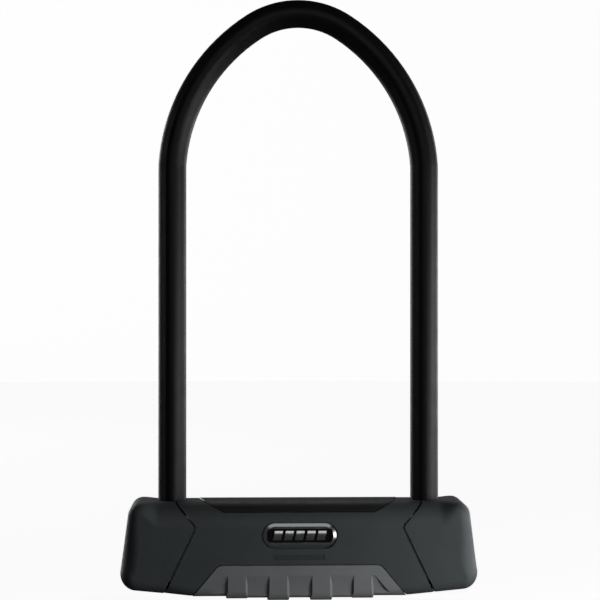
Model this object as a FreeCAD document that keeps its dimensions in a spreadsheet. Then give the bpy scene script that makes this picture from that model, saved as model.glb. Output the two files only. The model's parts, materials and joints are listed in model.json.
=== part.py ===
import FreeCAD, Part
import Sketcher
import math
import os

# U-lock: a bent square shackle, coated in soft plastic, and a crossbar that holds the lock.
# Millimetres. +X right, -Y front, +Z up. The origin is under the middle of the crossbar,
# on the plane of the two inner grip ribs that the lock stands on.

SIZES = {
    # crossbar outside: top, leaning sides and a bottom that rises towards the ends
    "bar_depth": 40.0, "bar_top": 46.2, "bar_top_half": 81.0, "bar_low_half": 86.6,
    "bar_low_level": 5.55, "bar_flat_half": 52.0, "bar_flat_level": 2.2,
    "top_corner": 6.0, "low_corner": 8.0, "crown_half": 67.0,
    "crown_round": 12.0, "upper_side_round": 5.5, "lower_side_round": 7.6, "bottom_round": 4.5,
    # steel tube, its end plugs, socket blocks and carrier
    "tube_half": 77.0, "tube_depth": 32.0, "tube_low": 7.0, "tube_high": 41.5, "tube_wall": 3.0,
    "tube_corner": 2.5, "plug_thick": 3.0, "socket_inner": 47.0, "carrier_half": 46.0,
    "relief_inner": 17.0, "relief_outer": 41.0, "relief_high": 26.0, "relief_wall": 3.0,
    # shackle
    "leg_centre": 61.2, "steel_side": 11.05, "steel_corner": 3.85, "coat": 0.55,
    "spring_level": 207.7, "shoulder_radius": 12.0, "haunch_radius": 87.4,
    "shoulder_angle": 4.05, "haunch_angle": 56.8,
    "foot_level": 13.0, "coat_level": 42.0, "foot_chamfer": 1.8, "foot_gap": 0.6,
    "foot_play": 0.6, "seal_play": 0.6, "seal_wall": 2.4, "seal_sink": 0.5, "seal_lift": 0.2,
    "notch_floor": 59.5, "notch_reach": 10.0, "notch_below": 0.4, "notch_above": 0.6,
    # bolts and scroll cam
    "bolt_half_depth": 5.0, "bolt_low": 31.6, "bolt_high": 38.0, "bolt_root": 1.6, "bolt_nose": 54.2,
    "bolt_play": 0.3, "bolt_nose_round": 0.7, "channel_half": 50.0, "channel_drop": 0.25, "window_gap": 2.0,
    "pin_radius": 1.3, "pin_low": 29.2, "pin_sink": 4.0, "scroll_start": 4.0, "scroll_lead": 20.0,
    "scroll_width": 2.9, "cam_radius": 11.6, "cam_low": 27.7, "cam_high": 31.3, "scroll_depth": 2.4,
    "cam_play": 0.25,
    # lock cylinder
    "shell_radius": 10.9, "shell_bore": 8.6, "shell_low": 7.4, "shell_high": 27.5,
    "barrel_radius": 8.5, "barrel_bore": 7.0, "barrel_low": 7.9, "barrel_high": 27.4, "barrel_floor": 0.9,
    "disc_radius": 6.9, "disc_thick": 1.4, "spacer_thick": 0.5, "spacer_ring": 1.8, "stack_low": 10.5,
    "gate_half": 1.0, "gate_depth": 1.1, "sidebar_half": 0.9, "sidebar_play": 0.05,
    "tang_half_length": 6.0, "tang_half_width": 1.5, "tang_rise": 0.7,
    "key_half_width": 1.5, "key_half_length": 4.2, "key_tip": 0.4, "key_shoulder": 1.0,
    "set_level": 18.0, "set_radius": 2.0, "set_socket": 1.0, "set_socket_depth": 1.2, "set_bite": 1.2,
    # screws
    "screw_radius": 1.5, "head_radius": 2.8, "head_depth": 1.5, "drive_radius": 1.2, "drive_depth": 1.0,
    "screw_bite": 3.0, "head_play": 0.15, "cap_seat": 0.6,
    # soft-touch covers
    "fit": 0.1, "split": 0.06, "seam_width": 1.1, "seam_depth": 0.75, "keel_seam_depth": 0.2, "skin": 1.8,
    "seam_top": 59.3, "seam_knee": 49.2, "seam_knee_level": 35.2, "seam_foot": 64.2, "seam_foot_level": 4.0,
    "seam_bend": 2.5, "cap_hollow": 4.0,
    "inset_half": 35.5, "inset_level": 42.05, "inset_top_half": 42.8, "inset_spread": 0.18,
    "inset_proud": 0.15, "inset_gap": 0.28,
    # grip
    "grip_top": 16.9, "grip_half": 38.55, "grip_low_half": 53.4, "grip_proud": 0.3, "grip_corner": 4.0,
    "grip_gap": 0.35, "rib_width": 10.4, "rib_top": 12.2, "rib_round": 4.0, "rib_soft": 0.6, "rib_slope": 1.0,
    "inner_rib": 10.2, "outer_rib": 29.9, "outer_rib_level": 0.9, "keel_level": 1.2, "keel_top": 6.0,
    "scoop_radius": 23.6, "scoop_level": 5.0, "scoop_floor": 19.2, "scoop_margin": 6.6,
    # keyhole and shutter
    "keyhole_radius": 4.8, "shutter_lap": 1.7, "shutter_play": 0.3, "shutter_drop": 2.1,
    "shutter_thick": 1.6, "shutter_travel": 12.0, "shutter_pocket": 4.5,
    "thumb_half": 1.0, "thumb_half_length": 3.0, "thumb_depth": 0.6,
    "spring_wire": 0.2, "spring_radius": 0.7, "spring_slack": 4.4, "spring_drop": 1.3,
    # badge and the blank label bar under it
    "badge_level": 31.1, "badge_length": 34.8, "badge_height": 11.5, "badge_gap": 0.65,
    "badge_floor": 18.8, "badge_face": 20.3, "bevel_back": 0.7, "bevel_in": 1.4,
    "field_length": 31.4, "field_height": 6.65, "field_corner": 2.2, "field_face": 19.6,
    "pip_pitch": 5.2, "pip_half_width": 1.9, "pip_half_height": 2.2, "pip_lean": 0.5, "pip_rise": 0.4,
    "label_half": 12.0, "label_low": 19.6, "label_high": 21.9, "label_depth": 0.35,
}
# Cutting tools reach this far past the piece that they cut.
PAST = 1.0

doc = FreeCAD.newDocument("u_lock")
sheet = doc.addObject("Spreadsheet::Sheet", "dims")
for row, (alias, number) in enumerate(SIZES.items(), 1):
    sheet.set(f"A{row}", alias)
    sheet.set(f"B{row}", str(number))
    sheet.setAlias(f"B{row}", alias)
doc.recompute()


class Size:
    """A length that knows its number and the sheet expression it comes from."""

    def __init__(self, number, text):
        self.number = number
        self.text = text

    def join(self, other, sign, number):
        return Size(number, f"({self.text} {sign} {text_of(other)})")

    def __add__(self, other):
        return self.join(other, "+", self.number + number_of(other))

    def __sub__(self, other):
        return self.join(other, "-", self.number - number_of(other))

    def __rsub__(self, other):
        return -self + other

    def __mul__(self, other):
        return self.join(other, "*", self.number * number_of(other))

    def __truediv__(self, other):
        return self.join(other, "/", self.number / number_of(other))

    def __neg__(self):
        return Size(-self.number, f"(0 - {self.text})")


def number_of(value):
    return value.number if isinstance(value, Size) else float(value)


def text_of(value):
    if isinstance(value, Size):
        return value.text
    return f"{value:.6f}" if value >= 0 else f"(0 - {-value:.6f})"


def number(alias):
    return float(sheet.get(alias))


def size(alias):
    return Size(number(alias), f"dims.{alias}")


def root(value):
    return Size(math.sqrt(value.number), f"sqrt({value.text})")


def bind(thing, path, value):
    """Set a property from the sheet, or from a plain number."""
    thing.setExpression(path, text_of(value))


def place(thing, x=0, y=0, z=0):
    for axis, value in zip("xyz", (x, y, z)):
        bind(thing, f"Placement.Base.{axis}", value)
    return thing


# ---------------------------------------------------------------- PartDesign helpers

def new_body(name):
    body = doc.addObject("PartDesign::Body", name)
    body.Label = name
    return body


def new_sketch(body, plane, name, level=0):
    """A sketch on one of the body's own origin planes, moved along its normal by level."""
    sketch = body.newObject("Sketcher::SketchObject", name)
    origin_plane = [item for item in body.Origin.OriginFeatures if item.Role == plane][0]
    sketch.AttachmentSupport = (origin_plane, [""])
    sketch.MapMode = "FlatFace"
    bind(sketch, "AttachmentOffset.Base.z", level)
    return sketch


def draw_polygon(sketch, points):
    """A closed outline whose corners are held at sheet distances from the origin."""
    first = sketch.GeometryCount
    count = len(points)
    spots = [FreeCAD.Vector(number_of(u), number_of(v), 0) for u, v in points]
    for index in range(count):
        sketch.addGeometry(Part.LineSegment(spots[index], spots[(index + 1) % count]))
    for index, (u, v) in enumerate(points):
        line = first + index
        after = first + (index + 1) % count
        sketch.addConstraint(Sketcher.Constraint("Coincident", line, 2, after, 1))
        hold_point(sketch, line, 1, u, v)


def hold_point(sketch, geometry, end, u, v):
    for kind, value in (("DistanceX", u), ("DistanceY", v)):
        number = sketch.addConstraint(Sketcher.Constraint(kind, -1, 1, geometry, end, number_of(value)))
        bind(sketch, f"Constraints[{number}]", value)


def draw_rectangle(sketch, u_low, u_high, v_low, v_high):
    draw_polygon(sketch, [(u_low, v_low), (u_high, v_low), (u_high, v_high), (u_low, v_high)])


def draw_circle(sketch, radius, u=0, v=0):
    centre = FreeCAD.Vector(number_of(u), number_of(v), 0)
    circle = sketch.addGeometry(Part.Circle(centre, FreeCAD.Vector(0, 0, 1), number_of(radius)))
    hold_point(sketch, circle, 3, u, v)
    number = sketch.addConstraint(Sketcher.Constraint("Radius", circle, number_of(radius)))
    bind(sketch, f"Constraints[{number}]", radius)


def add_pad(body, sketch, length, symmetric=False, back=False):
    pad = body.newObject("PartDesign::Pad", f"{sketch.Name}_pad")
    pad.Profile = sketch
    bind(pad, "Length", length)
    pad.Reversed = back
    if symmetric:
        pad.SideType = "Symmetric"
    return pad


def add_pocket(body, sketch, length, symmetric=False, back=False):
    pocket = body.newObject("PartDesign::Pocket", f"{sketch.Name}_pocket")
    pocket.Profile = sketch
    bind(pocket, "Length", length)
    pocket.Reversed = back
    if symmetric:
        pocket.SideType = "Symmetric"
    return pocket


def round_edges(body, picker, radius):
    """Fillet the edges of the body's shape for which picker(edge) is true."""
    doc.recompute()
    base = body.Tip
    names = [f"Edge{number}" for number, edge in enumerate(base.Shape.Edges, 1) if picker(edge)]
    fillet = body.newObject("PartDesign::Fillet", f"{base.Name}_round")
    fillet.Base = (base, names)
    bind(fillet, "Radius", radius)
    return fillet


def along(axis):
    """A picker of the straight edges that run along one axis."""
    def picker(edge):
        ends = [vertex.Point for vertex in edge.Vertexes]
        if len(ends) != 2 or not isinstance(edge.Curve, Part.Line):
            return False
        run = ends[1] - ends[0]
        return abs(abs(getattr(run, axis)) - run.Length) < 1e-6
    return picker


def at_corners(corners):
    """A picker of the edges along Y that stand at the given XZ corners."""
    wanted = [(number_of(x), number_of(z)) for x, z in corners]

    def picker(edge):
        spot = edge.Vertexes[0].Point
        near = any(math.hypot(spot.x - x, spot.z - z) < 1e-4 for x, z in wanted)
        return near and along("y")(edge)
    return picker


def front_prism(name, outlines, depth, corners=None, radius=0):
    """A prism along Y, through the whole depth, of one or more outlines in the XZ plane."""
    body = new_body(name)
    sketch = new_sketch(body, "XZ_Plane", f"{name}_outline")
    for outline in outlines:
        draw_polygon(sketch, outline)
    add_pad(body, sketch, depth, symmetric=True)
    if corners:
        round_edges(body, at_corners(corners), radius)
    return body


def upright(name, outline, low, high):
    """A prism along Z of one outline in the XY plane."""
    body = new_body(name)
    sketch = new_sketch(body, "XY_Plane", f"{name}_outline", low)
    draw_polygon(sketch, outline)
    add_pad(body, sketch, high - low)
    return body


def add_round_hole(body, radius, x, y, low, high):
    """A round hole along Z between two levels."""
    sketch = new_sketch(body, "XY_Plane", f"{body.Name}_hole", low)
    draw_circle(sketch, radius, x, y)
    add_pocket(body, sketch, high - low, back=True)


# ---------------------------------------------------------------- Part helpers

def box(name, x_low, x_high, y_low, y_high, z_low, z_high):
    block = doc.addObject("Part::Box", name)
    bind(block, "Length", x_high - x_low)
    bind(block, "Width", y_high - y_low)
    bind(block, "Height", z_high - z_low)
    return place(block, x_low, y_low, z_low)


def cylinder(name, radius, low, high, x=0, y=0):
    post = doc.addObject("Part::Cylinder", name)
    bind(post, "Radius", radius)
    bind(post, "Height", high - low)
    return place(post, x, y, low)


def cut(name, base, *tools):
    tool = tools[0] if len(tools) == 1 else fuse(f"{name}_tools", *tools)
    result = doc.addObject("Part::Cut", name)
    result.Base = base
    result.Tool = tool
    return result


def fuse(name, *shapes):
    result = doc.addObject("Part::MultiFuse", name)
    result.Shapes = list(shapes)
    return result


def common(name, *shapes):
    result = doc.addObject("Part::MultiCommon", name)
    result.Shapes = list(shapes)
    return result


def mirrored(name, source, normal=(1, 0, 0)):
    copy = doc.addObject("Part::Mirroring", name)
    copy.Source = source
    copy.Normal = FreeCAD.Vector(*normal)
    return copy


def group(name, shapes):
    """Identical pieces that share one node, each still a solid of its own."""
    result = doc.addObject("Part::Compound", name)
    result.Links = list(shapes)
    return result


def plain(name, shape):
    """A Part::Feature for a shape made with Part's own functions."""
    feature = doc.addObject("Part::Feature", name)
    feature.Shape = shape
    feature.Placement = shape.Placement
    return feature


# ---------------------------------------------------------------- crossbar envelope

def envelope(name, inset):
    """The outside of the crossbar, moved inwards by inset on every side."""
    lean = (size("bar_low_half") - size("bar_top_half")) / (size("bar_top") - size("bar_low_level"))
    rise = ((size("bar_low_level") - size("bar_flat_level"))
            / (size("bar_low_half") - size("bar_flat_half")))
    lean_length = root(lean * lean + 1)
    rise_length = root(rise * rise + 1)
    top = size("bar_top") - inset
    top_half = size("bar_top_half") - (lean_length - lean) * inset
    low_shift = (lean * rise_length + lean_length) / (lean * rise + 1) * inset
    low_half = size("bar_low_half") - low_shift
    low_level = size("bar_low_level") - rise * low_shift + rise_length * inset
    flat_half = size("bar_flat_half") - (rise_length - 1) / rise * inset
    flat_level = size("bar_flat_level") + inset
    crown_half = size("crown_half")
    outline = [
        (-flat_half, flat_level), (flat_half, flat_level), (low_half, low_level),
        (top_half, top), (crown_half, top), (-crown_half, top), (-top_half, top), (-low_half, low_level),
    ]
    half_depth = size("bar_depth") / 2 - inset
    block = new_body(f"{name}_block")
    sketch = new_sketch(block, "XZ_Plane", f"{name}_outline")
    draw_polygon(sketch, outline)
    add_pad(block, sketch, half_depth * 2, symmetric=True).Refine = False
    round_edges(block, at_corners([outline[3], outline[6]]), size("top_corner") - inset).Refine = False
    round_edges(block, at_corners([outline[2], outline[7]]), size("low_corner") - inset).Refine = False
    doc.recompute()

    # The front and rear edges are full along the crown, tighter round the ends and below.
    side_zone = low_half.number - number("low_corner") / 2

    def round_at(point):
        if point.z > top.number - 0.01 and abs(point.x) < crown_half.number + 0.01:
            return number("crown_round") - inset
        if point.z > top.number / 2:
            return number("upper_side_round") - inset
        if abs(point.x) > side_zone:
            return number("lower_side_round") - inset
        return number("bottom_round") - inset

    rounded = doc.addObject("Part::Fillet", name)
    rounded.Base = block
    rims = []
    for index, edge in enumerate(block.Shape.Edges, 1):
        ends = [vertex.Point.y for vertex in edge.Vertexes]
        on_face = all(abs(abs(y) - half_depth.number) < 1e-6 for y in ends)
        if on_face and ends[0] * ends[-1] > 0:
            first = edge.valueAt(edge.FirstParameter)
            last = edge.valueAt(edge.LastParameter)
            rims.append((index, round_at(first), round_at(last)))
    rounded.Edges = rims
    return rounded


outside = envelope("outside", 0)
inside_skin = envelope("inside_skin", number("skin"))
outside_inset = envelope("outside_inset", -number("inset_proud"))
inside_seam = envelope("inside_seam", number("seam_depth"))
outside_grip = envelope("outside_grip", -number("grip_proud"))
through = size("bar_depth") + 10 * PAST

# ---------------------------------------------------------------- seams and regions

over = size("bar_top") + 2 * PAST
under = -2 * PAST
far = size("bar_low_half") + 10 * PAST
seam_slope = (size("seam_top") - size("seam_knee")) / (size("bar_top") - size("seam_knee_level"))
seam_lean = (size("seam_foot") - size("seam_knee")) / (size("seam_knee_level") - size("seam_foot_level"))
seam_over = size("seam_top") + seam_slope * (over - size("bar_top"))
seam_under = size("seam_foot") + seam_lean * (size("seam_foot_level") - under)


def seam_line(shift):
    """The bent line between cover and end cap, from top to bottom, moved sideways."""
    return [
        (seam_over + shift, over),
        (size("seam_knee") + shift, size("seam_knee_level")),
        (seam_under + shift, under),
    ]


cap_line = seam_line(size("fit") / 2)
cap_region = front_prism("cap_region", [cap_line + [(far, under), (far, over)]], through,
                         [cap_line[1]], size("seam_bend"))
cover_line = seam_line(-size("fit") / 2)
cover_left = [(-x, z) for x, z in cover_line[::-1]]
cover_region = front_prism("cover_region", [cover_line + cover_left], through,
                           [cover_line[1], cover_left[1]], size("seam_bend"))
seam_right = seam_line(size("seam_width") / 2)
seam_left = seam_line(-size("seam_width") / 2)
seam_band = front_prism("seam_band", [seam_left + seam_right[::-1]], through,
                        [seam_left[1], seam_right[1]], size("seam_bend"))
low_zone = box("low_zone", -far, far, -through, through, under, size("bar_low_level"))
inside_keel = common("inside_keel", envelope("inside_faint", number("keel_seam_depth")), low_zone)
seam_groove = cut("seam_groove", seam_band, inside_seam, inside_keel)
seam_groove_left = mirrored("seam_groove_left", seam_groove)

inset_lean = (size("inset_top_half") - size("inset_half")) / (size("bar_top") - size("inset_level"))
inset_over = size("inset_top_half") + inset_lean * (over - size("bar_top"))
# Each half reaches this far past the middle, so that the two still overlap at the rear.
inset_lap = size("inset_spread") * size("bar_depth") + PAST * 2


def inset_side(name, grow):
    """The right half of the inset's region; its side leans out towards the top and the rear."""
    body = new_body(f"{name}_plane")
    sketch = new_sketch(body, "XZ_Plane", f"{name}_outline", size("bar_depth") / 2)
    draw_polygon(sketch, [
        (-inset_lap, size("inset_level") - grow),
        (size("inset_half") + grow / 2, size("inset_level") - grow),
        (inset_over + grow * 2, over),
        (-inset_lap, over),
    ])
    side = doc.addObject("Part::Extrusion", name)
    side.Base = sketch
    side.DirMode = "Custom"
    side.Dir = FreeCAD.Vector(number("inset_spread"), 1, 0)
    side.Solid = True
    bind(side, "LengthFwd", size("bar_depth") + 2 * PAST)
    bind(side, "LengthRev", 2 * PAST)
    return side


def inset_zone(name, grow):
    side = inset_side(f"{name}_side", grow)
    return fuse(name, side, mirrored(f"{name}_mirror", side))


inset_region = inset_zone("inset_region", 0)
inset_recess = inset_zone("inset_recess", size("inset_gap"))


def grip_outline(grow):
    side_grow = grow * 1.3
    top_grow = grow * 0.75
    return [
        (-size("grip_low_half") - side_grow, -PAST), (size("grip_low_half") + side_grow, -PAST),
        (size("grip_half") + top_grow, size("grip_top") + grow),
        (-size("grip_half") - top_grow, size("grip_top") + grow),
    ]


grip_edge = grip_outline(0)
grip_region = front_prism("grip_region", [grip_edge], through, grip_edge[2:], size("grip_corner"))
grip_room_edge = grip_outline(number("grip_gap"))
grip_recess = front_prism("grip_recess", [grip_room_edge], through, grip_room_edge[2:], size("grip_corner"))

# ---------------------------------------------------------------- shackle

leg = number("leg_centre")


def shackle_route(foot_level):
    """The centreline: legs, shoulders, haunches and crown, each arc tangent to the next."""
    shoulder = number("shoulder_radius")
    haunch = number("haunch_radius")
    first = math.radians(number("shoulder_angle"))
    second = math.radians(number("haunch_angle"))
    crown = haunch + (leg - shoulder + (shoulder - haunch) * math.cos(first)) / math.cos(second)
    spring = number("spring_level")

    def on_arc(x, z, radius, angle):
        return FreeCAD.Vector(x + radius * math.cos(angle), 0, z + radius * math.sin(angle))

    shoulder_x, shoulder_z = leg - shoulder, spring
    haunch_x = shoulder_x + (shoulder - haunch) * math.cos(first)
    haunch_z = shoulder_z + (shoulder - haunch) * math.sin(first)
    crown_z = haunch_z + (haunch - crown) * math.sin(second)
    arcs = [
        (shoulder_x, shoulder_z, shoulder, 0, first),
        (haunch_x, haunch_z, haunch, first, second),
        (0, crown_z, crown, second, math.pi / 2),
    ]
    right = [Part.makeLine(FreeCAD.Vector(leg, 0, foot_level), FreeCAD.Vector(leg, 0, spring))]
    for x, z, radius, start, end in arcs:
        points = [on_arc(x, z, radius, angle) for angle in (start, (start + end) / 2, end)]
        right.append(Part.Arc(*points).toShape())
    left = [edge.mirror(FreeCAD.Vector(0, 0, 0), FreeCAD.Vector(1, 0, 0)) for edge in right]
    return Part.Wire(Part.__sortEdges__(right + left))


def diamond(side, corner, x, level):
    """A square outline with rounded corners, turned so that one corner points forwards."""
    half = side / 2
    straight = half - corner
    middle = straight + corner * math.cos(math.pi / 4)
    edges = []
    for turn in range(4):
        line = Part.makeLine(FreeCAD.Vector(half, -straight, 0), FreeCAD.Vector(half, straight, 0))
        bend = Part.Arc(FreeCAD.Vector(half, straight, 0), FreeCAD.Vector(middle, middle, 0),
                        FreeCAD.Vector(straight, half, 0)).toShape()
        for edge in (line, bend):
            edge.rotate(FreeCAD.Vector(0, 0, 0), FreeCAD.Vector(0, 0, 1), 45 + 90 * turn)
            edge.translate(FreeCAD.Vector(x, 0, level))
            edges.append(edge)
    return Part.Wire(Part.__sortEdges__(edges))


def swept(name, side, corner, foot_level):
    """The square section carried along the whole centreline."""
    pipe = doc.addObject("Part::Sweep", name)
    section = plain(f"{name}_section", diamond(side, corner, leg, foot_level))
    spine = plain(f"{name}_route", shackle_route(foot_level))
    pipe.Sections = [section]
    pipe.Spine = (spine, [f"Edge{index}" for index in range(1, len(spine.Shape.Edges) + 1)])
    pipe.Solid = True
    pipe.Frenet = False
    return pipe


def diamond_post(name, side, corner, low, high, x=leg):
    post = doc.addObject("Part::Extrusion", name)
    post.Base = plain(f"{name}_section", diamond(side, corner, x, number_of(low)))
    post.Dir = FreeCAD.Vector(0, 0, 1)
    post.Solid = True
    bind(post, "LengthFwd", high - low)
    return post


steel_side = number("steel_side")
steel_corner = number("steel_corner")
coat = number("coat")
bar_blank = swept("bar_blank", steel_side, steel_corner, number("foot_level"))
doc.recompute()
foot_edges = [
    (index, number("foot_chamfer"), number("foot_chamfer"))
    for index, edge in enumerate(bar_blank.Shape.Edges, 1)
    if edge.BoundBox.ZMax < number("foot_level") + 0.01
]
bar_feet = doc.addObject("Part::Chamfer", "bar_feet")
bar_feet.Base = bar_blank
bar_feet.Edges = foot_edges
notch = box("notch", size("notch_floor") - size("notch_reach"), size("notch_floor"),
            -size("notch_reach"), size("notch_reach"),
            size("bolt_low") - size("notch_below"), size("bolt_high") + size("notch_above"))
shackle_bar = cut("shackle_bar", bar_feet, notch, mirrored("notch_left", notch))

coat_blank = swept("coat_blank", steel_side + 2 * coat, steel_corner + coat, number("coat_level"))
coat_core = swept("coat_core", steel_side, steel_corner, number("coat_level"))
shackle_coating = cut("shackle_coating", coat_blank, coat_core)

# ---------------------------------------------------------------- steel tube and its blocks

fit = size("fit")
socket_side = steel_side + number("foot_play")
socket_corner = steel_corner + number("foot_play") / 2

housing_core = new_body("housing_core")
tube_section = new_sketch(housing_core, "YZ_Plane", "tube_section")
half_tube = size("tube_depth") / 2
draw_rectangle(tube_section, -half_tube, half_tube, size("tube_low"), size("tube_high"))
add_pad(housing_core, tube_section, size("tube_half") * 2, symmetric=True)
round_edges(housing_core, along("x"), size("tube_corner"))
tube_bore = new_sketch(housing_core, "YZ_Plane", "tube_bore")
wall = size("tube_wall")
draw_rectangle(tube_bore, wall - half_tube, half_tube - wall,
               size("tube_low") + wall, size("tube_high") - wall)
add_pocket(housing_core, tube_bore, (size("tube_half") + PAST) * 2, symmetric=True)
low_wall = (size("tube_low") - PAST, size("tube_low") + wall + PAST)
high_wall = (size("tube_high") - wall - PAST, size("tube_high") + PAST)
add_round_hole(housing_core, size("shell_radius") + fit, 0, 0, *low_wall)

cover_screw_x = 30
cap_screw_x = 72
screw_y = 7
cover_screw_spots = [(x, y) for x in (-cover_screw_x, cover_screw_x) for y in (-screw_y, screw_y)]
cap_screw_spots = [(x, y) for x in (-cap_screw_x, cap_screw_x) for y in (-screw_y, screw_y)]
for x, y in cover_screw_spots + cap_screw_spots:
    add_round_hole(housing_core, size("screw_radius"), x, y, *low_wall)
for x, y in cover_screw_spots:
    add_round_hole(housing_core, size("screw_radius"), x, y, *high_wall)

foot_hole = diamond_post("foot_hole", socket_side, socket_corner, *high_wall)
foot_hole_left = mirrored("foot_hole_left", foot_hole)
housing_tube = cut("housing_tube", housing_core, foot_hole, foot_hole_left)

inner_half = half_tube - wall
inner_low = size("tube_low") + wall
inner_high = size("tube_high") - wall
plug_inner = size("tube_half") - size("plug_thick")
end_plug_right = box("end_plug_right", plug_inner, size("tube_half"),
                     -inner_half, inner_half, inner_low, inner_high)
end_plug_left = mirrored("end_plug_left", end_plug_right)

block_in = size("socket_inner")
channel_half = size("bolt_half_depth") + size("bolt_play")
channel_low = size("bolt_low") - size("channel_drop")
socket_core = box("socket_core", block_in, plug_inner, -inner_half, inner_half, inner_low, inner_high)
socket_hole = diamond_post("socket_hole", socket_side, socket_corner,
                           size("foot_level") - size("foot_gap"), size("tube_high"))
bolt_window = box("bolt_window", block_in - PAST, size("leg_centre") - size("window_gap"),
                  -channel_half, channel_half, channel_low, inner_high + PAST)
socket_block_right = cut("socket_block_right", socket_core, socket_hole, bolt_window)
socket_block_left = mirrored("socket_block_left", socket_block_right)

carrier_core = box("carrier_core", -size("carrier_half"), size("carrier_half"),
                   -inner_half, inner_half, inner_low, inner_high)
cylinder_bore = cylinder("cylinder_bore", size("shell_radius") + fit, inner_low - PAST, size("cam_low"))
cam_bore = cylinder("cam_bore", size("cam_radius") + size("cam_play"), size("shell_high"), size("bolt_low"))
bolt_channel = box("bolt_channel", -size("channel_half"), size("channel_half"),
                   -channel_half, channel_half, channel_low, inner_high + PAST)
relief_half = inner_half - size("relief_wall")
relief_right = box("relief_right", size("relief_inner"), size("relief_outer"),
                   -relief_half, relief_half, inner_low - PAST, size("relief_high"))
relief_left = mirrored("relief_left", relief_right)


def rear_post(name, radius, front, rear):
    """A round bar along Y, behind the lock cylinder."""
    post = doc.addObject("Part::Cylinder", name)
    bind(post, "Radius", radius)
    bind(post, "Height", rear - front)
    post.Placement.Rotation = FreeCAD.Rotation(FreeCAD.Vector(1, 0, 0), -90)
    return place(post, 0, front, size("set_level"))


set_tip = size("shell_radius") - size("set_bite")
set_head = inner_half - fit
set_screw_core = rear_post("set_screw_core", size("set_radius"), set_tip, set_head)
set_screw_socket = rear_post("set_screw_socket", size("set_socket"),
                             set_head - size("set_socket_depth"), inner_half + PAST)
cylinder_set_screw = cut("cylinder_set_screw", set_screw_core, set_screw_socket)
set_screw_hole = rear_post("set_screw_hole", size("set_radius"), set_tip, inner_half + PAST)
carrier_block = cut("carrier_block", carrier_core, cylinder_bore, cam_bore, bolt_channel,
                    relief_left, relief_right, set_screw_hole)

# ---------------------------------------------------------------- lock cylinder

shell_core = cylinder("shell_core", size("shell_radius"), size("shell_low"), size("shell_high"))
shell_bore = cylinder("shell_bore", size("shell_bore"), size("shell_low") - PAST, size("shell_high") + PAST)
cylinder_housing = cut("cylinder_housing", shell_core, shell_bore, set_screw_hole)


def keyway(name, low, high):
    """The key's slot, narrower at one end so that the key enters one way round."""
    half = size("key_half_width")
    long_half = size("key_half_length")
    outline = [
        (-half, -long_half), (half, -long_half), (half, size("key_shoulder")),
        (size("key_tip"), long_half), (-half, long_half),
    ]
    return upright(name, outline, low, high)


disc_count = 7
disc_pitch = size("disc_thick") + size("spacer_thick")
stack_high = size("stack_low") + disc_pitch * disc_count - size("spacer_thick")
guard_low = size("barrel_low") + size("barrel_floor")
barrel_core = cylinder("barrel_core", size("barrel_radius"), size("barrel_low"), size("barrel_high"))
barrel_hollow = cylinder("barrel_hollow", size("barrel_bore"), guard_low, stack_high + fit)
barrel_keyway = keyway("barrel_keyway", size("barrel_low") - PAST, guard_low + PAST)
sidebar_slot = box("sidebar_slot", size("barrel_bore") - PAST, size("barrel_radius") + PAST,
                   -size("gate_half"), size("gate_half"), size("stack_low"), stack_high)
tang_half_length = size("tang_half_length")
tang_half_width = size("tang_half_width")
tang_high = size("cam_low") + size("tang_rise")
tang = box("tang", -tang_half_length, tang_half_length, -tang_half_width, tang_half_width,
           size("barrel_high") - PAST, tang_high)
barrel_body = fuse("barrel_body", barrel_core, tang)
core_barrel = cut("core_barrel", barrel_body, barrel_hollow, barrel_keyway, sidebar_slot)

sidebar_play = size("sidebar_play")
sidebar_half = size("sidebar_half")
sidebar = box("sidebar", size("barrel_bore") + sidebar_play, size("barrel_radius") - sidebar_play,
              -sidebar_half, sidebar_half, size("stack_low") + fit, stack_high - fit)

guard_core = cylinder("guard_core", size("disc_radius"), guard_low, size("stack_low") - fit)
guard_keyway = keyway("guard_keyway", guard_low - PAST, size("stack_low") + PAST)
drill_guard = cut("drill_guard", guard_core, guard_keyway)

# At rest the right key has turned every disc, so all the gates face the sidebar.
discs = []
spacers = []
for index in range(disc_count):
    low = size("stack_low") + disc_pitch * index
    high = low + size("disc_thick")
    gate = box(f"disc_gate_{index}", size("disc_radius") - size("gate_depth"), size("disc_radius") + PAST,
               -size("gate_half"), size("gate_half"), low - PAST, high + PAST)
    blank = cylinder(f"disc_blank_{index}", size("disc_radius"), low, high)
    slot = keyway(f"disc_keyway_{index}", low - PAST, high + PAST)
    discs.append(cut(f"disc_{index}", blank, slot, gate))
    if index < disc_count - 1:
        ring_top = high + size("spacer_thick")
        ring = cylinder(f"spacer_blank_{index}", size("disc_radius"), high, ring_top)
        eye = cylinder(f"spacer_eye_{index}", size("disc_radius") - size("spacer_ring"),
                       high - PAST, ring_top + PAST)
        spacers.append(cut(f"spacer_{index}", ring, eye))
lock_discs = group("lock_discs", discs)
disc_spacers = group("disc_spacers", spacers)

# ---------------------------------------------------------------- scroll cam and bolts


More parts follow.
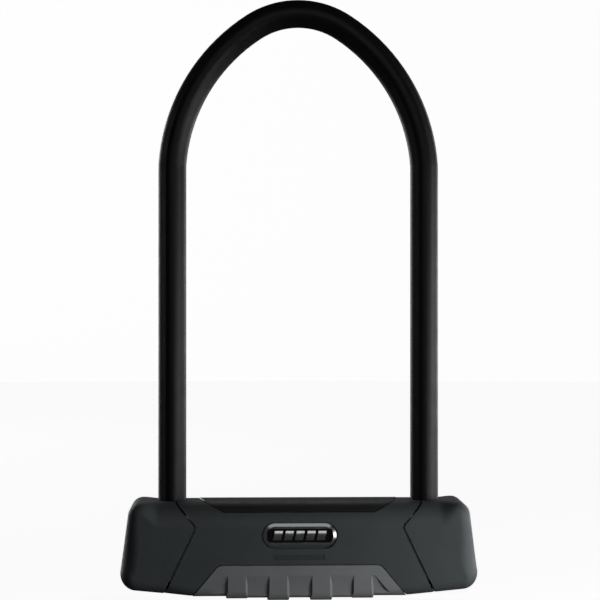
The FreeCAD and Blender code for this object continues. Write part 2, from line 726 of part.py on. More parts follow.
def scroll(turn):
    """One groove of the cam: a spiral whose radius grows evenly with the angle."""
    growth = number("scroll_lead") / (2 * math.pi)
    half = number("scroll_width") / 2
    steps = 8
    centres = []
    sides = []
    for step in range(steps + 1):
        angle = math.pi / 2 * step / steps
        radius = number("scroll_start") + growth * angle
        outward = FreeCAD.Vector(math.cos(angle), -math.sin(angle), 0)
        onward = FreeCAD.Vector(-math.sin(angle), -math.cos(angle), 0)
        heading = outward * growth + onward * radius
        centres.append(outward * radius)
        sides.append(FreeCAD.Vector(-heading.y, heading.x, 0).normalize() * half)
    banks = []
    for sign in (1, -1):
        bank = Part.BSplineCurve()
        bank.interpolate([centre + side * sign for centre, side in zip(centres, sides)])
        banks.append(bank)
    ends = []
    for index, direction in ((0, 1), (-1, -1)):
        centre, side = centres[index], sides[index]
        back = FreeCAD.Vector(-side.y, side.x, 0) * direction
        ends.append(Part.Arc(centre + side, centre + back, centre - side).toShape())
    outline = Part.Wire(Part.__sortEdges__([bank.toShape() for bank in banks] + ends))
    floor = number("cam_high") - number("scroll_depth")
    groove = Part.Face(outline).extrude(FreeCAD.Vector(0, 0, number("scroll_depth") + PAST))
    groove.translate(FreeCAD.Vector(0, 0, floor))
    groove.rotate(FreeCAD.Vector(0, 0, 0), FreeCAD.Vector(0, 0, 1), turn)
    return groove


cam_core = cylinder("cam_core", size("cam_radius"), size("cam_low"), size("cam_high"))
tang_slot = box("tang_slot", -tang_half_length - fit, tang_half_length + fit,
                -tang_half_width - fit, tang_half_width + fit, size("cam_low") - PAST, tang_high + fit)
cam_disc = cut("cam_disc", cam_core, tang_slot, plain("scroll_right", scroll(0)),
               plain("scroll_left", scroll(180)))

bolt_bar = new_body("bolt_bar")
bolt_section = new_sketch(bolt_bar, "YZ_Plane", "bolt_section", size("bolt_root"))
bolt_half = size("bolt_half_depth")
draw_rectangle(bolt_section, -bolt_half, bolt_half, size("bolt_low"), size("bolt_high"))
add_pad(bolt_bar, bolt_section, size("bolt_nose") - size("bolt_root"))
round_edges(bolt_bar, lambda edge: edge.BoundBox.XMin > number("bolt_nose") - 0.01, size("bolt_nose_round"))
pin_high = size("bolt_low") + size("pin_sink")
pin_hole = cylinder("pin_hole", size("pin_radius"), size("bolt_low") - PAST, pin_high, size("scroll_start"))
bolt_right = cut("bolt_right", bolt_bar, pin_hole)
bolt_left = mirrored("bolt_left", bolt_right)
follower_pin_right = cylinder("follower_pin_right", size("pin_radius"), size("pin_low"), pin_high,
                              size("scroll_start"))
follower_pin_left = mirrored("follower_pin_left", follower_pin_right)

# ---------------------------------------------------------------- covers, caps, inset and grip

tube_room = box("tube_room", -size("tube_half") - fit, size("tube_half") + fit,
                -half_tube - fit, half_tube + fit, size("tube_low") - fit, size("tube_high") + fit)

seal_side = steel_side + 2 * coat + number("seal_play")
seal_corner = steel_corner + coat + number("seal_play") / 2
seal_wall = number("seal_wall")
seal_low = size("tube_high") + size("seal_lift")
seal_high = size("bar_top") - size("seal_sink")
collar = diamond_post("collar", seal_side + seal_wall, seal_corner + seal_wall / 2, seal_low, seal_high)
collar_eye = diamond_post("collar_eye", seal_side, seal_corner, seal_low - PAST, seal_high + PAST)
shackle_seal_right = cut("shackle_seal_right", collar, collar_eye)
shackle_seal_left = mirrored("shackle_seal_left", shackle_seal_right)
collar_play = 0.1
collar_room = diamond_post("collar_room", seal_side + seal_wall + collar_play,
                           seal_corner + (seal_wall + collar_play) / 2, size("tube_high") - PAST, seal_high)
leg_play = 0.4
leg_room = diamond_post("leg_room", seal_side + leg_play, seal_corner + leg_play / 2,
                        seal_high - PAST, size("bar_top") + PAST)
leg_entry = fuse("leg_entry", collar_room, leg_room)
leg_entry_left = mirrored("leg_entry_left", leg_entry)

screw_radius = number("screw_radius")
head_radius = number("head_radius")
head_depth = number("head_depth")
bite = number("screw_bite")


def screw(name, x, y, head_level, tip_level):
    """A pan-head screw along Z; the head is at head_level and the tip at tip_level."""
    low = min(head_level, tip_level)
    inward = FreeCAD.Vector(0, 0, 1 if tip_level > head_level else -1)
    top = FreeCAD.Vector(x, y, head_level)
    shank = Part.makeCylinder(screw_radius, abs(tip_level - head_level), FreeCAD.Vector(x, y, low))
    head = Part.makeCylinder(head_radius, head_depth, top, inward)
    drive = Part.makeCylinder(number("drive_radius"), number("drive_depth"), top, inward)
    return plain(name, shank.fuse(head).cut(drive))


def head_room(name, x, y, outer_level, seat_level, tip_level):
    """The counterbore and the clearance hole for one screw."""
    low = min(outer_level, seat_level)
    bore = Part.makeCylinder(head_radius + number("head_play"), abs(outer_level - seat_level),
                             FreeCAD.Vector(x, y, low))
    low = min(seat_level, tip_level)
    hole = Part.makeCylinder(screw_radius + number("fit"), abs(seat_level - tip_level),
                             FreeCAD.Vector(x, y, low))
    return plain(name, bore.fuse(hole))


lid = number("skin") + number("head_play") * 2
flat = number("bar_flat_level") + lid
ceiling = number("bar_top") - lid
tube_low = number("tube_low")
tube_high = number("tube_high")
beyond = number_of(over)
cover_screws = []
cover_holes = []
for index, (x, y) in enumerate(cover_screw_spots):
    cover_screws.append(screw(f"low_screw_{index}", x, y, flat, tube_low + bite))
    cover_screws.append(screw(f"high_screw_{index}", x, y, ceiling, tube_high - bite))
    cover_holes.append(head_room(f"low_hole_{index}", x, y, under, flat + head_depth, tube_low + PAST))
    cover_holes.append(head_room(f"high_hole_{index}", x, y, beyond, ceiling - head_depth, tube_high - PAST))
cover_screws = group("cover_screws", cover_screws)

cap_slope = ((number("bar_low_level") - number("bar_flat_level"))
             / (number("bar_low_half") - number("bar_flat_half")))
cap_floor = (number("bar_flat_level") + (cap_screw_x - number("bar_flat_half")) * cap_slope
             + number("cap_seat"))
cap_screws = []
cap_holes = []
for index, (x, y) in enumerate(cap_screw_spots):
    cap_screws.append(screw(f"cap_screw_{index}", x, y, cap_floor, tube_low + bite))
    cap_holes.append(head_room(f"cap_hole_{index}", x, y, under, cap_floor + head_depth, tube_low + PAST))
end_cap_screws = group("end_cap_screws", cap_screws)

cap_hollow = box("cap_hollow", size("tube_half") - PAST, size("tube_half") + size("cap_hollow"),
                 -inner_half, inner_half, inner_low, inner_high)
cap_blank = common("cap_blank", outside, cap_region)
end_cap_right = cut("end_cap_right", cap_blank, tube_room, leg_entry, seam_groove, cap_hollow, *cap_holes[2:])
end_cap_left = mirrored("end_cap_left", end_cap_right)

# The keyhole in the grip and cover, and the slide that closes it from inside.
keyhole = cylinder("keyhole", size("keyhole_radius"), under, size("tube_low") + PAST)
shutter_low = size("tube_low") - size("shutter_drop")
shutter_half = size("keyhole_radius") + size("shutter_lap")
shutter_side = shutter_half + size("shutter_play")
shutter_reach = shutter_half + size("shutter_travel") + size("shutter_pocket")
shutter_room = box("shutter_room", -shutter_side, shutter_reach, -shutter_side, shutter_side,
                   shutter_low - fit * 2, size("tube_low") + PAST)

grip_shell = cut("grip_shell", common("grip_blank", outside_grip, grip_region), inside_skin)
grip_clear = cut("grip_clear", grip_recess, inside_skin)
inset_clear = cut("inset_clear", inset_recess, inside_skin)

badge_middle = size("badge_level")
sliver = 0.02


def stadium(name, length, height, back, face, corner=None):
    """A bar along X, round-ended without a corner radius, standing on the front from back to face."""
    body = new_body(name)
    sketch = new_sketch(body, "XZ_Plane", f"{name}_outline", back)
    draw_rectangle(sketch, -length / 2, length / 2, badge_middle - height / 2, badge_middle + height / 2)
    add_pad(body, sketch, face - back)
    round_edges(body, along("y"), corner or height / 2 - sliver)
    return body


badge_gap = size("badge_gap")
badge_room = stadium("badge_room", size("badge_length") + badge_gap * 2, size("badge_height") + badge_gap * 2,
                     size("badge_floor"), size("badge_face") + PAST)
front = -size("bar_depth") / 2
label_bar = box("label_bar", -size("label_half"), size("label_half"),
                front - PAST, front + size("label_depth"), size("label_low"), size("label_high"))

cover_blank = common("cover_blank", outside, cover_region)
cover_shell = cut("cover_shell", cover_blank, tube_room, leg_entry, leg_entry_left, seam_groove,
                  seam_groove_left, grip_clear, inset_clear, keyhole, shutter_room, *cover_holes)
split = size("split") / 2
front_half = box("front_half", -far, far, -through, -split, under, over)
rear_half = box("rear_half", -far, far, split, through, under, over)
cover_rear = common("cover_rear", cover_shell, rear_half)
cover_front = cut("cover_front", common("cover_front_half", cover_shell, front_half), badge_room, label_bar)

top_inset = cut("top_inset", common("inset_blank", outside_inset, inset_region), inside_skin)

# ---------------------------------------------------------------- ribs and finger scoops of the grip


def hoop(name, centre, width, low, high):
    """A raised band from the front face, under the bottom, to the rear face."""
    half = size("bar_depth") / 2 + size("grip_proud")
    body = new_body(name)
    sketch = new_sketch(body, "YZ_Plane", f"{name}_outline", centre - width / 2)
    draw_rectangle(sketch, -half, half, low, high)
    add_pad(body, sketch, width)
    round_edges(body, lambda edge: along("x")(edge) and edge.Vertexes[0].Point.z < number_of(low) + PAST,
                size("rib_round"))
    return body


def rib(name, centre, low):
    """One rib, with its long edges softened below."""
    body = hoop(name, centre, size("rib_width"), low, size("rib_top"))
    round_edges(body, lambda edge: edge.BoundBox.ZMax < number("rib_top") - 0.1 and not along("x")(edge)
                and edge.BoundBox.XLength < 0.01, size("rib_soft"))
    return body


ribs = []
for index, (centre, low) in enumerate([
        (-size("outer_rib"), size("outer_rib_level")), (-size("inner_rib"), 0),
        (size("inner_rib"), 0), (size("outer_rib"), size("outer_rib_level"))]):
    ribs.append(rib(f"rib_{index}", centre, low))
ribs.append(hoop("keel", 0, size("outer_rib") * 2 + size("rib_width"),
                 size("keel_level"), size("keel_top")))

scoop_low = -PAST
half_rib = size("rib_width") / 2
middle_in = size("inner_rib") - half_rib
middle_out = size("inner_rib") + half_rib
outer_in = size("outer_rib") - half_rib
outer_out = size("outer_rib") + half_rib
end_lean = (size("grip_low_half") - size("grip_half")) / (size("grip_top") + PAST)
end_high = size("grip_half") - size("scoop_margin") + end_lean * (size("grip_top") - size("rib_top"))
end_low = size("grip_low_half") - size("scoop_margin")
scoop_high = size("rib_top")


def column(low_left, low_right, high_left, high_right):
    """The outline of one finger hollow between two ribs."""
    return [(low_left, scoop_low), (low_right, scoop_low), (high_right, scoop_high), (high_left, scoop_high)]


scoop_outlines = [
    column(-middle_in, middle_in, -middle_in, middle_in),
    column(middle_out, outer_in, middle_out, outer_in),
    column(-outer_in, -middle_out, -outer_in, -middle_out),
    column(outer_out, end_low, outer_out, end_high),
    column(-end_low, -outer_out, -end_high, -outer_out),
]
scoop_columns = front_prism("scoop_columns", scoop_outlines, through)


def scoop_roller(name, side):
    """A wide round bar along X that leaves a shallow finger hollow in the grip's face."""
    roller = doc.addObject("Part::Cylinder", name)
    bind(roller, "Radius", size("scoop_radius"))
    bind(roller, "Height", size("grip_low_half") * 2)
    roller.Placement.Rotation = FreeCAD.Rotation(FreeCAD.Vector(0, 1, 0), 90)
    return place(roller, -size("grip_low_half"), (size("scoop_floor") + size("scoop_radius")) * side,
                 size("scoop_level"))


def flank_wedges(name, side):
    """Wedges beside the ribs that slope their flanks where these meet the grip's face."""
    slope = size("rib_slope")
    face = (size("bar_depth") / 2 + size("grip_proud")) * side
    body = new_body(name)
    sketch = new_sketch(body, "XY_Plane", f"{name}_outline", scoop_low)
    for centre in (-size("outer_rib"), -size("inner_rib"), size("inner_rib"), size("outer_rib")):
        for outwards in (-1, 1):
            flank = centre + half_rib * outwards
            draw_polygon(sketch, [
                (flank - slope * 2 * outwards, face + slope * side),
                (flank, face - slope * side),
                (flank + slope * outwards, face - slope * side),
                (flank + slope * outwards, face + slope * side),
            ])
    add_pad(body, sketch, scoop_high - scoop_low)
    return body


def scoop(name, side):
    """The hollows of one face, with sloping flanks, as deep as the round bar reaches."""
    region = fuse(f"scoop_region_{name}", scoop_columns, flank_wedges(f"flank_wedges_{name}", side))
    return common(f"scoops_{name}", region, scoop_roller(f"roller_{name}", side))


scoops = [scoop("front", -1), scoop("rear", 1)]
rib_shells = cut("rib_shells", fuse("all_ribs", *ribs), inside_skin)
bottom_grip = cut("bottom_grip", fuse("grip_solid", grip_shell, rib_shells), *scoops, keyhole)

# ---------------------------------------------------------------- keyhole shutter

shutter_plate = box("shutter_plate", -shutter_half, shutter_half, -shutter_half, shutter_half,
                    shutter_low, shutter_low + size("shutter_thick"))
thumb_groove = box("thumb_groove", -size("thumb_half"), size("thumb_half"),
                   -size("thumb_half_length"), size("thumb_half_length"),
                   shutter_low - PAST, shutter_low + size("thumb_depth"))
keyhole_shutter = cut("keyhole_shutter", shutter_plate, thumb_groove)

coil_turns = 12
coil_slope = 0.38
spring_start = FreeCAD.Vector(number("spring_radius"), 0, 0)
spring_length = number("shutter_travel") + number("spring_slack")
coil = Part.makeHelix(spring_length / coil_turns, spring_length, number("spring_radius"))
wire_end = Part.Wire(Part.makeCircle(number("spring_wire"), spring_start, FreeCAD.Vector(0, 1, coil_slope)))
spring_shape = Part.Wire(coil).makePipeShell([wire_end], True, True)
spring_shape.rotate(FreeCAD.Vector(0, 0, 0), FreeCAD.Vector(0, 1, 0), 90)
spring_root = shutter_half.number + number("fit") / 2
spring_shape.translate(FreeCAD.Vector(spring_root, 0, tube_low - number("spring_drop")))
shutter_spring = plain("shutter_spring", spring_shape)

# ---------------------------------------------------------------- badge

rim_core = stadium("rim_core", size("badge_length"), size("badge_height"),
                   size("badge_floor"), size("badge_face"))
doc.recompute()
rim_bevel = doc.addObject("Part::Chamfer", "rim_bevel")
rim_bevel.Base = rim_core
face_level = -number("badge_face")
rim_bevel.Edges = [
    (index, number("bevel_back"), number("bevel_in")) for index, edge in enumerate(rim_core.Shape.Edges, 1)
    if edge.BoundBox.YMax < face_level + 0.01
]
field_room = stadium("field_room", size("field_length"), size("field_height"),
                     size("badge_floor") - PAST, size("badge_face") + PAST, size("field_corner"))
badge_rim = cut("badge_rim", rim_bevel, field_room)
badge_plate = stadium("badge_plate", size("field_length"), size("field_height"),
                      size("badge_floor"), size("field_face"), size("field_corner"))
pip_count = 5
half_width = number("pip_half_width")
half_height = number("pip_half_height")
lean = number("pip_lean")
level = number("badge_level")
pips = []
for index in range(pip_count):
    centre = (index - (pip_count - 1) / 2) * number("pip_pitch")
    corners = [FreeCAD.Vector(centre + across * half_width + up * lean, -number("field_face"),
                              level + up * half_height)
               for across, up in ((-1, -1), (1, -1), (1, 1), (-1, 1))]
    outline = Part.makePolygon(corners + corners[:1])
    pips.append(plain(f"pip_{index}", Part.Face(outline).extrude(FreeCAD.Vector(0, -number("pip_rise"), 0))))
badge_pips = group("badge_pips", pips)

# ---------------------------------------------------------------- check and write

NODES = [
    shackle_bar, shackle_coating,
    housing_tube, end_plug_left, end_plug_right, socket_block_left, socket_block_right, carrier_block,
    cylinder_housing, cylinder_set_screw, core_barrel, drill_guard, lock_discs, disc_spacers, sidebar,
    cam_disc,
    bolt_left, bolt_right, follower_pin_left, follower_pin_right,
    cover_front, cover_rear, end_cap_left, end_cap_right, top_inset, bottom_grip,
    shackle_seal_left, shackle_seal_right, cover_screws, end_cap_screws,
    keyhole_shutter, shutter_spring, badge_rim, badge_plate, badge_pips,
]
doc.recompute()
failed = [item.Name for item in doc.Objects if "Invalid" in item.State or "Error" in item.State]
if failed:
    raise RuntimeError(f"objects that failed: {failed}")
os.makedirs("parts", exist_ok=True)
for node in NODES:
    if node.Shape.isNull() or not node.Shape.isValid() or not node.Shape.Solids:
        raise RuntimeError(f"bad shape: {node.Label}")
    node.Shape.exportStep(f"parts/{node.Label}.step")
    print(f"{node.Label}: {len(node.Shape.Solids)} solids, {node.Shape.Volume:.1f} mm3")
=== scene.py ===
import json
import math

import bmesh
import bpy
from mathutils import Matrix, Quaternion, Vector

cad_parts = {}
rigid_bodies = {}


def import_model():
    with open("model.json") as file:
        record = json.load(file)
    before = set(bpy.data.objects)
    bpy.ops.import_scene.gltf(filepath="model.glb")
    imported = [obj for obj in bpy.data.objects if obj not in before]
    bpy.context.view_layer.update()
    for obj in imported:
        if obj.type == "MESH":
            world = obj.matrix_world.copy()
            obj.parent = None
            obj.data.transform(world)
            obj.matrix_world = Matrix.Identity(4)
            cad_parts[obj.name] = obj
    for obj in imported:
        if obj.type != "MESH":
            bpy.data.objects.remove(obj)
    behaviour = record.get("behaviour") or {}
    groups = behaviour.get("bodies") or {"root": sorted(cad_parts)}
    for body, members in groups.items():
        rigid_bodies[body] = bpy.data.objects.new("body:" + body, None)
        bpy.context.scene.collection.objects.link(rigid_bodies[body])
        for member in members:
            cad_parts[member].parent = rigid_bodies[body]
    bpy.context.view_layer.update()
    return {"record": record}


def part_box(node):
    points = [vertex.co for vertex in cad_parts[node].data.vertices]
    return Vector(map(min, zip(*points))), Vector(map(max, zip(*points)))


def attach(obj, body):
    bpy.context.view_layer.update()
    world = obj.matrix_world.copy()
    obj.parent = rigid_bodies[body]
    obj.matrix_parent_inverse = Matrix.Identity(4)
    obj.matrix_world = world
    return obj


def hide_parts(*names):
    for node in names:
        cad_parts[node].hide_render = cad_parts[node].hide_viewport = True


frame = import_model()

scene = bpy.context.scene


# ---------------------------------------------------------------- materials

class Recipe:
    """A node material built step by step; positions on it are in metres."""

    def __init__(self, name, color, roughness, metallic=0.0, specular=0.5):
        self.material = bpy.data.materials.new(name)
        self.material.use_nodes = True
        self.tree = self.material.node_tree
        self.shader = self.tree.nodes["Principled BSDF"]
        self.shader.inputs["Base Color"].default_value = (*color, 1)
        self.shader.inputs["Roughness"].default_value = roughness
        self.shader.inputs["Metallic"].default_value = metallic
        self.shader.inputs["Specular IOR Level"].default_value = specular
        self.color = color
        self.place = self.node("ShaderNodeTexCoord").outputs["Object"]
        self.bump_out = None

    def node(self, kind, **values):
        made = self.tree.nodes.new(kind)
        for key, value in values.items():
            setattr(made, key, value)
        return made

    def link(self, source, target):
        self.tree.links.new(source, target)

    def stretched(self, scale):
        """The position with each axis multiplied, for brushed or moulded directions."""
        mapping = self.node("ShaderNodeMapping")
        mapping.inputs["Scale"].default_value = scale
        self.link(self.place, mapping.inputs["Vector"])
        return mapping.outputs["Vector"]

    def noise(self, scale, detail=3.0, roughness=0.55, vector=None):
        made = self.node("ShaderNodeTexNoise")
        made.inputs["Scale"].default_value = scale
        made.inputs["Detail"].default_value = detail
        made.inputs["Roughness"].default_value = roughness
        self.link(vector or self.place, made.inputs["Vector"])
        return made.outputs["Fac"]

    def grains(self, scale):
        """Small rounded cells, as spark-eroded tooling leaves on moulded plastic."""
        made = self.node("ShaderNodeTexVoronoi", feature="SMOOTH_F1")
        made.inputs["Scale"].default_value = scale
        made.inputs["Smoothness"].default_value = 0.6
        self.link(self.place, made.inputs["Vector"])
        return made.outputs["Distance"]

    def remap(self, value, low, high, out_low, out_high):
        made = self.node("ShaderNodeMapRange")
        ends = {"From Min": low, "From Max": high, "To Min": out_low, "To Max": out_high}
        for name, number in ends.items():
            made.inputs[name].default_value = number
        self.link(value, made.inputs["Value"])
        return made.outputs["Result"]

    def shade(self, value, dark, light):
        """Vary the base colour between two multiples of itself."""
        mix = self.node("ShaderNodeMix", data_type="RGBA")
        mix.inputs["A"].default_value = (*[channel * dark for channel in self.color], 1)
        mix.inputs["B"].default_value = (*[min(1, channel * light) for channel in self.color], 1)
        self.link(value, mix.inputs["Factor"])
        self.link(mix.outputs["Result"], self.shader.inputs["Base Color"])
        return self

    def vary_roughness(self, value, low, high):
        self.link(self.remap(value, 0.3, 0.7, low, high), self.shader.inputs["Roughness"])
        return self

    def bump(self, value, depth, strength=1.0):
        """Raise the surface by up to depth metres; calls add to each other."""
        made = self.node("ShaderNodeBump")
        made.inputs["Distance"].default_value = depth
        made.inputs["Strength"].default_value = strength
        self.link(value, made.inputs["Height"])
        if self.bump_out is not None:
            self.link(self.bump_out, made.inputs["Normal"])
        self.bump_out = made.outputs["Normal"]
        self.link(self.bump_out, self.shader.inputs["Normal"])
        return self


def moulded_plastic(name, color, roughness, grain=2600, depth=0.00002):
    """Black two-shot plastic with a fine eroded grain and faint flow clouding."""
    recipe = Recipe(name, color, roughness, specular=0.36)
    cloud = recipe.noise(45, 2)
    recipe.shade(cloud, 0.88, 1.12)
    recipe.vary_roughness(recipe.noise(220, 4), roughness - 0.05, roughness + 0.06)
    recipe.bump(recipe.grains(grain), depth)
    recipe.bump(recipe.noise(90, 2), 0.00003, 0.4)
    return recipe.material


def vinyl():
    """The dipped coating of the shackle: almost black, slightly glossy, faintly uneven."""
    recipe = Recipe("shackle_vinyl", (0.0035, 0.0037, 0.0044), 0.42, specular=0.22)
    recipe.shade(recipe.noise(60, 3), 0.85, 1.2)
    recipe.vary_roughness(recipe.noise(160, 4), 0.38, 0.48)
    recipe.bump(recipe.grains(1800), 0.000012)
    recipe.bump(recipe.noise(70, 2), 0.00006, 0.5)
    return recipe.material


def grip_rubber():
    recipe = Recipe("grip_grey", (0.14, 0.146, 0.149), 0.6, specular=0.4)
    recipe.shade(recipe.noise(50, 3), 0.9, 1.1)
    recipe.vary_roughness(recipe.noise(260, 4), 0.54, 0.68)
    recipe.bump(recipe.grains(2200), 0.00003)
    return recipe.material


def seal_rubber():
    recipe = Recipe("seal_rubber", (0.009, 0.009, 0.0095), 0.7, specular=0.3)
    recipe.shade(recipe.noise(300, 3), 0.8, 1.2)
    recipe.bump(recipe.noise(900, 3), 0.00003)
    return recipe.material


def turned_metal(name, color, roughness, stretch=(1, 1, 30), scale=120):
    """Metal with fine tool marks along one direction."""
    recipe = Recipe(name, color, roughness, metallic=1.0)
    marks = recipe.noise(scale, 3, vector=recipe.stretched(stretch))
    recipe.shade(recipe.noise(35, 3), 0.82, 1.08)
    recipe.vary_roughness(marks, roughness - 0.06, roughness + 0.08)
    recipe.bump(marks, 0.00001)
    return recipe.material


def cast_zinc():
    recipe = Recipe("zinc_casting", (0.4, 0.41, 0.42), 0.5, metallic=1.0)
    recipe.shade(recipe.noise(140, 5), 0.75, 1.1)
    recipe.bump(recipe.noise(700, 4), 0.00004)
    return recipe.material


def badge_chrome():
    recipe = Recipe("badge_chrome", (0.72, 0.73, 0.74), 0.2, metallic=1.0)
    recipe.shade(recipe.noise(400, 2), 0.94, 1.04)
    recipe.vary_roughness(recipe.noise(900, 3), 0.16, 0.26)
    recipe.bump(recipe.noise(1400, 2), 0.000004)
    return recipe.material


def badge_field():
    recipe = Recipe("badge_field", (0.004, 0.004, 0.0045), 0.12)
    recipe.shade(recipe.noise(500, 2), 0.8, 1.2)
    recipe.vary_roughness(recipe.noise(800, 3), 0.1, 0.2)
    recipe.bump(recipe.noise(600, 2), 0.000003)
    return recipe.material


MATERIALS = {
    "shackle_vinyl": vinyl(),
    "soft_touch_black": moulded_plastic("soft_touch_black", (0.04, 0.046, 0.048), 0.56),
    # Body plastic made a little darker: painted shade of the recessed bed under the badge, put on the strip
    # that fills it.
    "label_painted_shade": moulded_plastic("label_painted_shade", (0.03, 0.0345, 0.036), 0.6),
    "inset_black": moulded_plastic("inset_black", (0.013, 0.0138, 0.015), 0.46, 1900),
    "grip_grey": grip_rubber(),
    "hardened_steel": turned_metal("hardened_steel", (0.42, 0.42, 0.43), 0.32),
    "zinc_casting": cast_zinc(),
    "brass": turned_metal("brass", (0.66, 0.48, 0.2), 0.3, (1, 1, 40), 90),
    "badge_chrome": badge_chrome(),
    "badge_field": badge_field(),
    "seal_rubber": seal_rubber(),
    "spring_steel": turned_metal("spring_steel", (0.55, 0.55, 0.56), 0.28, (40, 1, 1), 200),
    "screw_steel": turned_metal("screw_steel", (0.14, 0.14, 0.145), 0.38),
}


def dress_nodes():
    """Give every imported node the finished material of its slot."""
    for part in frame["record"]["subparts"]:
        item = bpy.data.objects[part["node"]]
        for slot in item.material_slots:
            slot.material = MATERIALS[part["material_slot"]]


# ---------------------------------------------------------------- mesh helpers

def circle(turns):
    """The angles of a full turn, in equal steps."""
    return [2 * math.pi * turn / turns for turn in range(turns)]


def thicken(shape, back):
    """Extrude the whole skin straight back to one depth, and close it."""
    walls = bmesh.ops.extrude_face_region(shape, geom=shape.faces[:])
    for item in walls["geom"]:
        if isinstance(item, bmesh.types.BMVert):
            item.co.y = back
    bmesh.ops.recalc_face_normals(shape, faces=shape.faces[:])


def made_object(name, shape, material, smooth):
    for face in shape.faces:
        face.smooth = smooth
    mesh = bpy.data.meshes.new(name)
    shape.to_mesh(mesh)
    shape.free()
    mesh.materials.append(material)
    item = bpy.data.objects.new(name, mesh)
    scene.collection.objects.link(item)
    return item


def soften(item, width):
    """Round a piece's edges slightly."""
    bevel = item.modifiers.new("soften", "BEVEL")
    bevel.width = width
    bevel.segments = 2
    return bevel


# ---------------------------------------------------------------- refined pieces

def badge_bars():
    """The badge's five leaning bars, with faces rounded across their height like cast marks."""
    low, high = (Vector(corner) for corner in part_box("badge_pips"))
    bars = 5
    rows = 12
    gap = 0.0014
    lean = 0.0005
    crown = (high.y - low.y) * 0.9
    edge_round = 0.00012
    pitch = (high.x - low.x - 2 * lean + gap) / bars
    shape = bmesh.new()
    for bar in range(bars):
        left = low.x + lean + bar * pitch
        pairs = []
        for row in range(rows + 1):
            share = row / rows
            across = 2 * share - 1
            start = left + lean * across
            face = low.y + crown * across * across
            level = low.z + (high.z - low.z) * share
            pairs.append([shape.verts.new((x, face, level)) for x in (start, start + pitch - gap)])
        for lower, upper in zip(pairs, pairs[1:]):
            shape.faces.new((lower[0], lower[1], upper[1], upper[0]))
    thicken(shape, high.y)
    item = made_object("badge_bars", shape, MATERIALS["badge_chrome"], smooth=True)
    bevel = soften(item, edge_round)
    bevel.limit_method = "ANGLE"
    bevel.angle_limit = math.radians(50)
    bevel.harden_normals = True
    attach(item, "crossbar")
    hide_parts("badge_pips")


def label_inlay():
    """A blank soft strip, with round ends, that fills the shallow recessed bed under the badge flush; it is
    coloured a little darker than the body as painted shade of that recess.
    """
    low, high = (Vector(corner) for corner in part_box("badge_rim"))
    below_badge = 0.01035
    half_length = 0.0118
    end_radius = 0.00105
    face = -0.01992
    back = -0.0197
    edge_round = 0.00006
    middle = (low.z + high.z) / 2 - below_badge
    shape = bmesh.new()
    rim = []
    for angle in circle(24):
        end = math.copysign(half_length - end_radius, math.cos(angle))
        rim.append(shape.verts.new((end + end_radius * math.cos(angle), face,
                                    middle + end_radius * math.sin(angle))))
    shape.faces.new(rim)
    thicken(shape, back)
    # The strip carries the painted shade colour of the recess it fills.
    item = made_object("label_inlay", shape, MATERIALS["label_painted_shade"], smooth=False)
    soften(item, edge_round)
    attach(item, "crossbar")


# ---------------------------------------------------------------- studio

def area_light(name, place, aim, width, height, power, roll=0):
    lamp = bpy.data.lights.new(name, "AREA")
    lamp.shape = "RECTANGLE"
    lamp.size = width
    lamp.size_y = height
    lamp.energy = power
    item = bpy.data.objects.new(name, lamp)
    scene.collection.objects.link(item)
    item.location = place
    facing = (Vector(aim) - Vector(place)).to_track_quat("-Z", "Y")
    item.rotation_euler = (facing @ Quaternion((0, 0, 1), math.radians(roll))).to_euler()
    item.visible_camera = False
    return item


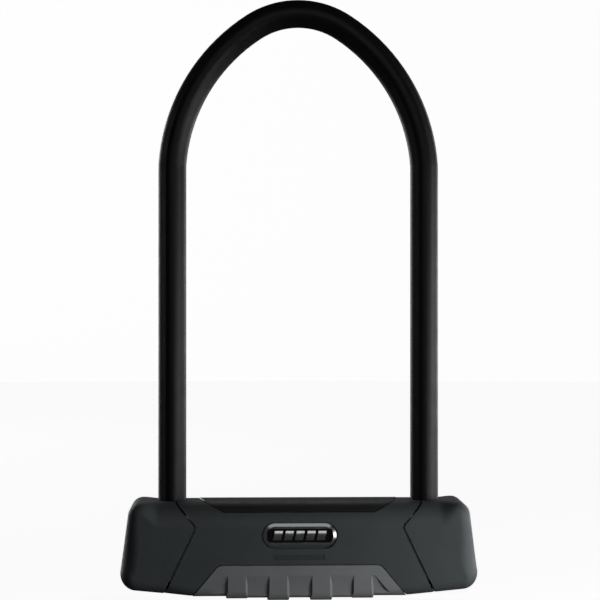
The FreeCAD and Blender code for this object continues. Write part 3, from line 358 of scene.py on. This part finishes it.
def studio():
    """One low softbox at the right, a small fill beside it, and weak lights above and behind."""
    world = bpy.data.worlds.new("studio_air")
    scene.world = world
    world.use_nodes = True
    world.node_tree.nodes["Background"].inputs["Color"].default_value = (1, 1, 1, 1)
    world.node_tree.nodes["Background"].inputs["Strength"].default_value = 0.03
    area_light("key", (0.6, -0.25, 0.02), (0.0, -0.25, 0.02), 1.9, 0.24, 4.5, roll=10)
    side = area_light("side_fill", (0.2, -0.14, 0.03), (0, 0, 0.03), 0.08, 0.08, 0.37)
    side.visible_glossy = False
    area_light("overhead", (0.0, -0.7, 0.8), (0, 0, 0.05), 1.2, 0.6, 0.7)
    card = area_light("front_card", (0.0, -1.1, 0.45), (0, 0, 0.03), 1.0, 0.35, 0.8)
    card.visible_diffuse = False
    area_light("top", (0.0, 0.75, 0.6), (0, 0, 0.05), 1.0, 0.3, 0.6)
    area_light("edge_left", (-0.45, 0.35, 0.2), (0, 0, 0.14), 0.3, 0.4, 0.8)
    area_light("edge_right", (0.5, 0.4, 0.25), (0, 0, 0.14), 0.3, 0.5, 1)
    area_light("rear", (-0.9, 1.1, 0.3), (0, 0, 0.12), 0.9, 0.7, 5)


def sweep():
    """The floor, curving up all round into one pale backdrop."""
    radius, bend, high = 3.2, 0.8, 4.5
    clearance = 0.0003
    bend_steps = 16
    profile = []
    for step in range(bend_steps + 1):
        angle = math.pi / 2 * step / bend_steps
        profile.append((radius - bend + bend * math.sin(angle), bend - bend * math.cos(angle)))
    profile.append((radius, high))
    shape = bmesh.new()
    rings = []
    for reach, level in profile:
        rings.append([shape.verts.new((reach * math.cos(angle), reach * math.sin(angle), level - clearance))
                      for angle in circle(64)])
    shape.faces.new(rings[0])
    for lower, upper in zip(rings, rings[1:]):
        for turn in range(len(lower)):
            shape.faces.new((lower[turn - 1], lower[turn], upper[turn], upper[turn - 1]))
    paper = Recipe("sweep_paper", (0.9, 0.9, 0.9), 0.9)
    paper.shader.inputs["Emission Color"].default_value = (1, 1, 1, 1)
    paper.shader.inputs["Emission Strength"].default_value = 0.95
    item = made_object("sweep", shape, paper.material, smooth=True)
    item.visible_diffuse = False
    item.visible_glossy = False
    item.visible_shadow = False


def camera():
    """From the front, a touch to the left, level with the middle of the shackle's legs."""
    aside, away, level = -0.03, 0.9, 0.14305
    aim = 0.00075
    lens = bpy.data.cameras.new("front_view")
    lens.sensor_width = 36
    lens.lens = 111.2
    item = bpy.data.objects.new("front_view", lens)
    item.location = (aside, -away, level)
    item.rotation_euler = (math.radians(90), 0, -math.atan2(aim - aside, away))
    scene.collection.objects.link(item)
    scene.camera = item


scene.view_settings.view_transform = "Standard"
scene.cycles.use_denoising = True
# A default scene's cube is not part of the object.
if "Cube" in bpy.data.objects:
    bpy.data.objects.remove(bpy.data.objects["Cube"])
dress_nodes()
badge_bars()
label_inlay()
studio()
sweep()
camera()
